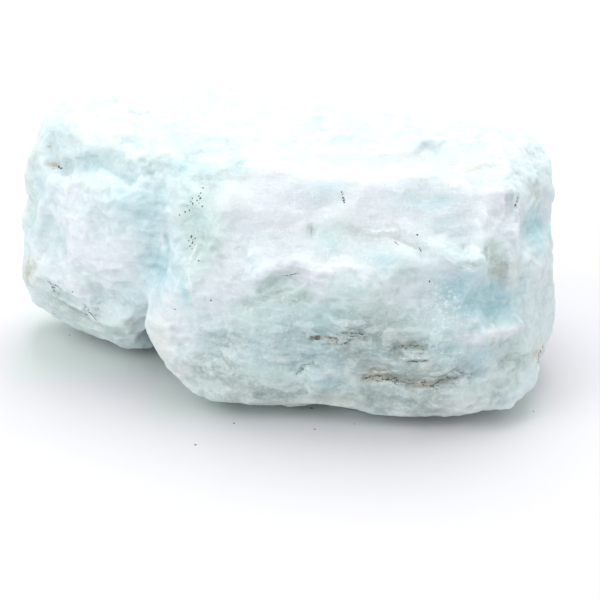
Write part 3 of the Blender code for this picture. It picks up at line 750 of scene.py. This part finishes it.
def beside_lines(places, lines):
    """How far each place is above or below the nearest line, and how fully it is beside that line."""
    offset = np.full(len(places), LINE_RANGE)
    beside = np.zeros(len(places))
    nearest = np.full(len(places), np.inf)
    for line in lines:
        bends = np.array(line)
        for start, end in zip(bends, bends[1:]):
            length = np.linalg.norm(end - start)
            along = (end - start) / length
            run = (places - start) @ along
            away = (places - start) @ np.array((-along[1], along[0]))
            beyond = np.maximum(np.maximum(-run, run - length), 0)
            distance = np.hypot(away, beyond)
            closer = distance < nearest
            nearest[closer] = distance[closer]
            offset[closer] = away[closer]
            beside[closer] = smooth_step(-beyond, -LINE_END, 0.0)[closer]
    return np.clip(offset, -LINE_RANGE, LINE_RANGE), beside


def cut(skin):
    """The open splits and pits, and the lips of small ledges. Gives how deep each point was cut."""
    tree = tree_of(skin)
    points = points_of(skin) / MM
    ragged = 1 + CUT_RAGGED * noise_at(points, *CUT_NOISE)
    depth = np.zeros(len(points))
    for side, marks, half_width, deepest in CUTS:
        line = [on_skin(tree, side, mark) for mark in marks]
        share = 1 - np.clip(distance_to_line(points, line) / (half_width * ragged), 0, 1)
        depth = np.maximum(depth, deepest * smooth_step(share, 0, 1))
    offset, beside = beside_lines(in_picture(points), LIPS)
    lip = LIP_HEIGHT * beside * smooth_step(-np.abs(offset), -LIP_WIDTH, 0) * (points[:, 1] < LIP_BACK)
    push(skin, lip - depth)
    return depth


def smoothed(skin, passes):
    """Each point's place on the skin after this many passes of smoothing, in millimetres."""
    points = points_of(skin) / MM
    edges = np.empty(len(skin.data.edges) * 2, dtype=np.int64)
    skin.data.edges.foreach_get("vertices", edges)
    edges = edges.reshape(-1, 2)
    ends = np.concatenate([edges[:, 0], edges[:, 1]])
    others = np.concatenate([edges[:, 1], edges[:, 0]])
    count = np.bincount(ends, minlength=len(points))
    level = points.copy()
    for _ in range(passes):
        sums = [np.bincount(ends, weights=level[others, axis], minlength=len(points)) for axis in range(3)]
        level = np.stack(sums, axis=1) / count[:, None]
    return level


def hollowness(skin, passes):
    """How far each point lies below the smoothed skin, in millimetres."""
    return ((smoothed(skin, passes) - points_of(skin) / MM) * normals_of(skin)).sum(axis=1)


def calm(skin):
    """Evens out the upper slope and the front of the top."""
    points = points_of(skin) / MM
    away = (in_picture(points) - np.array(CALM_MIDDLE)) / np.array(CALM_REACH)
    share = CALM_SHARE * smooth_step(-np.hypot(away[:, 0], away[:, 1]), *CALM_EDGE)
    move_points(skin, (points + (smoothed(skin, CALM_PASSES) - points) * share[:, None]) * MM)


def keep_on_table(skin):
    points = points_of(skin)
    points[:, 2] = np.clip(points[:, 2], 0, None)
    move_points(skin, points)


# ---- where the colours are ----


def write_attribute(skin, name, values):
    attribute = skin.data.attributes.new(name, "FLOAT", "POINT")
    attribute.data.foreach_set("value", np.clip(values, 0, 1))


def patch_amounts(skin, points):
    """How much of each tint the patches give every point."""
    tree = tree_of(skin)
    warped = points.copy()
    for height, size, seeds, octaves in PATCH_WANDER:
        warped += height * np.stack([noise_at(points, size, seed, octaves) for seed in seeds], axis=1)
    amounts = {tint: np.zeros(len(points)) for tint in TINTS}
    for tint, side, middle, reach, strength in PATCHES:
        centre = on_skin(tree, side, middle)
        away = ((warped - centre) @ np.array(SIDES[side]).T / (*reach, PATCH_DEPTH)) ** 2
        amounts[tint] = np.maximum(amounts[tint], strength * np.exp(-away.sum(axis=1)))
    return amounts


def add_tints(skin, points, split_depth, amounts):
    """Adds the tints that follow the skin's shape, among them painted shade in hollows and painted highlight
    on swells, and those of the sides that the picture doesn't show.
    """
    normals = normals_of(skin)
    hollow = hollowness(skin, HOLLOW_PASSES)
    clouds = noise_at(points, *CLOUD_NOISE)
    causes = {
        "hollow": hollow,
        "swell": -hollow,
        "split": split_depth,
        "clouds": clouds,
        "between_clouds": -clouds,
        "grey_clouds": noise_at(points, *GREY_NOISE),
        "green_clouds": noise_at(points, *GREEN_NOISE),
        "tan_clouds": noise_at(points, *TAN_NOISE) + TAN_IN_HOLLOWS * hollow,
    }
    in_front = smooth_step(-normals[:, 1], *SHOWN_IN_FRONT)
    on_top = smooth_step(normals[:, 2], *SHOWN_ON_TOP)
    elsewhere = 1 - SHOWN_SHARE * np.maximum(in_front, on_top)
    # Blue in the hollows is painted shade; white on the swells is partly paler crushed crystal and partly
    # painted highlight.
    for tint, cause, limits, strength in SHAPE_TINTS:
        amounts[tint] += strength * smooth_step(causes[cause], *limits)
    for tint, cause, limits, strength in HIDDEN_TINTS:
        amounts[tint] += elsewhere * strength * smooth_step(causes[cause], *limits)


def paint(skin, split_depth):
    """Stores how much of each tint every point has, where the crests are, and where the thin lines are."""
    points = points_of(skin) / MM
    amounts = patch_amounts(skin, points)
    add_tints(skin, points, split_depth, amounts)
    # Pale edges on fine crests: partly paler crushed crystal, partly painted highlight.
    amounts["edge"] = smooth_step(-hollowness(skin, CREST_PASSES), *CREST_HEIGHT)
    places = in_picture(points)
    facing = smooth_step(-points[:, 1], *LINE_BACK)
    for name, lines in (("thread", THREADS), ("lip", LIPS)):
        offset, beside = beside_lines(places, lines)
        amounts[name + "_offset"] = 0.5 + offset / (2 * LINE_RANGE)
        amounts[name + "_beside"] = beside * facing
    for name, values in amounts.items():
        write_attribute(skin, name, values)


# ---- materials ----


class Nodes:
    """Makes and links the nodes of one material."""

    # Places of the colour sockets on a Mix node.
    MIX_SHARE, MIX_FIRST, MIX_SECOND, MIX_RESULT = 0, 6, 7, 2

    def __init__(self, name):
        self.material = bpy.data.materials.new(name)
        self.material.use_nodes = True
        self.tree = self.material.node_tree
        self.shader = self.tree.nodes["Principled BSDF"]
        self.place = self.new("ShaderNodeTexCoord").outputs["Object"]

    def new(self, kind, **settings):
        node = self.tree.nodes.new(kind)
        for name, value in settings.items():
            setattr(node, name, value)
        return node

    def set(self, socket, value):
        if isinstance(value, bpy.types.NodeSocket):
            self.tree.links.new(value, socket)
        else:
            socket.default_value = value

    def set_shader(self, values):
        for name, value in values.items():
            self.set(self.shader.inputs[name], value)

    def maths(self, operation, a, b=0.0):
        node = self.new("ShaderNodeMath", operation=operation)
        self.set(node.inputs[0], a)
        self.set(node.inputs[1], b)
        return node.outputs[0]

    def times(self, a, b):
        return self.maths("MULTIPLY", a, b)

    def swing(self, texture, reach, middle=TEXTURE_MIDDLE):
        """How far the texture is above or below its middle, times the reach."""
        return self.times(self.maths("SUBTRACT", texture, middle), reach)

    def vector(self, operation, a, b=(0, 0, 0), output="Vector"):
        node = self.new("ShaderNodeVectorMath", operation=operation)
        self.set(node.inputs[0], a)
        self.set(node.inputs[1], b)
        return node.outputs[output]

    def stretched(self, stretch):
        node = self.new("ShaderNodeMapping")
        self.set(node.inputs["Vector"], self.place)
        self.set(node.inputs["Scale"], stretch)
        return node.outputs["Vector"]

    def noise(self, size, detail, rough, stretch=(1, 1, 1)):
        """Noise with features of that size in metres, from 0 to 1."""
        node = self.new("ShaderNodeTexNoise")
        self.set(node.inputs["Vector"], self.stretched(stretch))
        self.set(node.inputs["Scale"], 1 / size)
        self.set(node.inputs["Detail"], detail)
        self.set(node.inputs["Roughness"], rough)
        return node.outputs["Fac"]

    def cells(self, size, stretch):
        """Cells of that size in metres, each with a value of its own."""
        node = self.new("ShaderNodeTexVoronoi")
        self.set(node.inputs["Vector"], self.stretched(stretch))
        self.set(node.inputs["Scale"], 1 / size)
        return node.outputs["Color"]

    def attribute(self, name):
        return self.new("ShaderNodeAttribute", attribute_name=name).outputs["Fac"]

    def ramp(self, value, low, high, start=0.0, end=1.0):
        """Rises smoothly from start to end as the value goes from low to high."""
        node = self.new("ShaderNodeMapRange", interpolation_type="SMOOTHSTEP")
        inputs = {"Value": value, "From Min": low, "From Max": high, "To Min": start, "To Max": end}
        for name, number in inputs.items():
            self.set(node.inputs[name], number)
        return node.outputs["Result"]

    def mix(self, share, a, b, blend="MIX"):
        node = self.new("ShaderNodeMix", data_type="RGBA", blend_type=blend)
        self.set(node.inputs[self.MIX_SHARE], share)
        self.set(node.inputs[self.MIX_FIRST], a)
        self.set(node.inputs[self.MIX_SECOND], b)
        return node.outputs[self.MIX_RESULT]

    def bump(self, height, distance, strength, normal):
        """Relief from a texture's height, on top of the normal of any relief before it."""
        node = self.new("ShaderNodeBump")
        self.set(node.inputs["Height"], height)
        self.set(node.inputs["Distance"], distance)
        self.set(node.inputs["Strength"], strength)
        if normal:
            self.set(node.inputs["Normal"], normal)
        return node.outputs["Normal"]


def amount(n, textures, tint, limits, breakup):
    """The stored amount of a tint, with its edge broken up by the textures."""
    broken = n.attribute(tint)
    for texture, weight in breakup:
        broken = n.maths("ADD", broken, n.swing(textures[texture], weight))
    return n.ramp(broken, *limits)


def tinted(n, textures):
    """The body colour with all the tints laid on."""
    colour = n.mix(n.ramp(textures["wisps"], *WISPS_TO_WHITE), BODY, WHITE)
    for tint, paint_colour, *limits in TINT_LAYERS:
        colour = n.mix(amount(n, textures, tint, limits, TINT_BREAKUP), colour, paint_colour)
    return colour


def with_crystals_and_highlights(n, textures, colour):
    """Adds pale and shaded specks, veins and pale edges on fine crests; the pale edges are partly paler
    crushed crystal and partly painted highlight. Dull parts have crisper specks and fewer veins.
    """
    dull = n.maths("MAXIMUM", n.attribute("grey"), n.attribute("deep"))
    pale = n.ramp(dull, *DULL_TO_PALE)
    crisp = n.ramp(dull, *DULL_TO_CRISP)
    for texture, spread in SPECKS:
        value = textures[texture]
        sugar = n.ramp(value, TEXTURE_MIDDLE, TEXTURE_MIDDLE + spread, 0.0, SPECK_SUGAR)
        shade = n.ramp(value, TEXTURE_MIDDLE, TEXTURE_MIDDLE - spread, 0.0, SPECK_SHADE)
        colour = n.mix(n.times(sugar, crisp), colour, SUGAR)
        colour = n.mix(n.times(shade, crisp), colour, SHADE, "MULTIPLY")
    from_vein = n.maths("ABSOLUTE", n.maths("SUBTRACT", textures["veins"], TEXTURE_MIDDLE))
    colour = n.mix(n.times(n.ramp(from_vein, *VEIN_TO_SUGAR), pale), colour, SUGAR)
    # The pale crest edges are partly paler crushed crystal and partly painted highlight.
    edges = n.times(n.attribute("edge"), n.ramp(textures["mottle"], *MOTTLE_TO_EDGE))
    return n.mix(n.times(edges, pale), colour, SUGAR)


def with_marks(n, textures, colour):
    """Adds tan stains, dark dirt, the thin lines, with pale lip lines of painted highlight and one dark line
    of painted shadow, and the sugary flakes, which are painted glints.
    """
    tan = amount(n, textures, "tan", TAN_LAYER, TAN_BREAKUP)
    colour = n.mix(n.times(tan, n.ramp(textures["thread"], *THREAD_TO_TAN)), colour, TAN)
    dirt = n.times(n.attribute("dark"), n.ramp(textures["thread"], *THREAD_TO_DARK))
    colour = n.mix(dirt, colour, DARK)
    # Pale lines along the ledge lips: painted highlight.
    colour = n.mix(n.times(thin_lines(n, textures, "lip", *LIP_LINE), LIP_STRENGTH), colour, SUGAR)
    colour = n.mix(thin_lines(n, textures, "thread", *THREAD_LINE), colour, DARK)
    # The sugary flakes are painted glints.
    flakes = n.times(n.attribute("sugar"), n.ramp(textures["flakes"], *FLAKES_TO_SUGAR))
    return n.mix(flakes, colour, SUGAR)


def thin_lines(n, textures, name, half_width, fade, wander, gaps):
    """One along the lines of that name, which wander a little and are broken by gaps."""
    offset = n.swing(n.attribute(name + "_offset"), 2 * LINE_RANGE)
    away = n.maths("ABSOLUTE", n.maths("ADD", offset, n.swing(textures["drift"], wander)))
    line = n.times(n.ramp(away, half_width, fade, 1.0, 0.0), n.attribute(name + "_beside"))
    return n.times(line, n.ramp(textures["gaps"], *gaps))


def dark_grains(n, grains):
    """How dark it is for these small dark grains, which is zero outside them."""
    ragged = n.swing(n.noise(*GRAIN_TEXTURE), GRAIN_RAGGED, GRAIN_MIDDLE)
    nearest = None
    for middle, radius in grains:
        outside = n.maths("SUBTRACT", n.vector("DISTANCE", n.place, middle, output="Value"), radius * MM)
        nearest = n.maths("MINIMUM", nearest, outside) if nearest else outside
    return n.ramp(n.maths("ADD", nearest, ragged), *GRAIN_EDGE)


def stone_material(grains):
    n = Nodes("hemimorphite_skin")
    textures = {name: n.noise(*settings) for name, settings in STONE_TEXTURES.items()}
    textures["plates"] = n.cells(*PLATES)
    colour = with_marks(n, textures, with_crystals_and_highlights(n, textures, tinted(n, textures)))
    normal = None
    for texture, height, strength in STONE_BUMPS:
        normal = n.bump(textures[texture], height, strength, normal)
    n.set_shader(STONE_SHADER)
    n.set_shader({
        "Base Color": n.mix(dark_grains(n, grains), colour, DARK),
        "Roughness": n.ramp(textures["mottle"], *MOTTLE_TO_ROUGHNESS),
        "Normal": normal,
    })
    return n.material


def from_stone(n):
    """How far each place on the table is from the stone, taking the main block and the lobe as boxes."""
    nearest = None
    for middle, half in STONE_FOOT:
        away = n.vector("ABSOLUTE", n.vector("SUBTRACT", n.place, [v * MM for v in middle]))
        beyond = n.vector("MAXIMUM", n.vector("SUBTRACT", away, [v * MM for v in half]), (0, 0, 0))
        distance = n.vector("LENGTH", beyond, output="Value")
        nearest = n.maths("MINIMUM", nearest, distance) if nearest else distance
    return nearest


def table_material():
    n = Nodes("pale_table")
    colour = n.mix(n.noise(*TABLE_TEXTURE), *TABLE_COLOURS)
    # Painted bounce light: the table is tinted greener close to the stone's foot.
    colour = n.mix(n.ramp(from_stone(n), 0.0, TABLE_PAINTED_BOUNCE_REACH, 1.0, 0.0), colour, TABLE_PAINTED_BOUNCE)
    dust = [(on_table(place), radius) for *place, radius in DUST]
    n.set_shader(TABLE_SHADER)
    n.set_shader({"Base Color": n.mix(dark_grains(n, dust), colour, DARK)})
    return n.material


# ---- stone, table, light and camera ----


def make_stone(node):
    """The broken, painted skin, which takes the place of the node's plain solid."""
    skin = new_skin(node)
    draw = random.Random(CHIP_SEED)
    for chips in CHIP_PASSES:
        chip(skin, draw, *chips)
    roughen(skin)
    calm(skin)
    split_depth = cut(skin)
    keep_on_table(skin)
    paint(skin, split_depth)
    tree = tree_of(skin)
    grains = [(on_skin(tree, "picture", place) * MM, radius) for *place, radius in GRAINS]
    skin.data.materials.clear()
    skin.data.materials.append(stone_material(grains))
    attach(skin, "root")
    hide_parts("hemimorphite")


def make_table():
    low, high = -TABLE_HALF, TABLE_HALF
    mesh = bpy.data.meshes.new("table")
    mesh.from_pydata([(low, low, 0), (high, low, 0), (high, high, 0), (low, high, 0)], [], [(0, 1, 2, 3)])
    table = bpy.data.objects.new("table", mesh)
    bpy.context.scene.collection.objects.link(table)
    mesh.materials.append(table_material())


def soft_box(name, place, aim, size, power):
    light = bpy.data.lights.new(name, "AREA")
    light.size = size
    light.energy = power
    obj = bpy.data.objects.new(name, light)
    obj.location = place
    obj.rotation_euler = (Vector(aim) - Vector(place)).to_track_quat("-Z", "Y").to_euler()
    bpy.context.scene.collection.objects.link(obj)


def make_light():
    world = bpy.data.worlds.new("studio")
    world.use_nodes = True
    background = world.node_tree.nodes["Background"]
    background.inputs["Color"].default_value = WORLD_COLOUR
    background.inputs["Strength"].default_value = WORLD_STRENGTH
    bpy.context.scene.world = world
    for box in SOFT_BOXES:
        soft_box(*box)
    view = bpy.context.scene.view_settings
    view.view_transform = "Standard"
    view.gamma = GAMMA
    view.exposure = EXPOSURE


def make_camera():
    """Looks from the front at the chosen elevation, turned down so that the aim sits above the middle."""
    focal_pixels = CAMERA_DISTANCE * PIXELS_PER_METRE
    camera = bpy.data.cameras.new("camera")
    camera.sensor_width = SENSOR
    camera.lens = SENSOR * focal_pixels / IMAGE_PIXELS
    camera.clip_start = CAMERA_NEAREST
    obj = bpy.data.objects.new("camera", camera)
    obj.location = camera_place()
    obj.rotation_euler = (math.pi / 2 - TILT, 0, 0)
    bpy.context.scene.collection.objects.link(obj)
    bpy.context.scene.camera = obj


def main():
    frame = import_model()
    make_stone(frame["nodes"]["hemimorphite"])
    make_table()
    make_light()
    make_camera()


main()
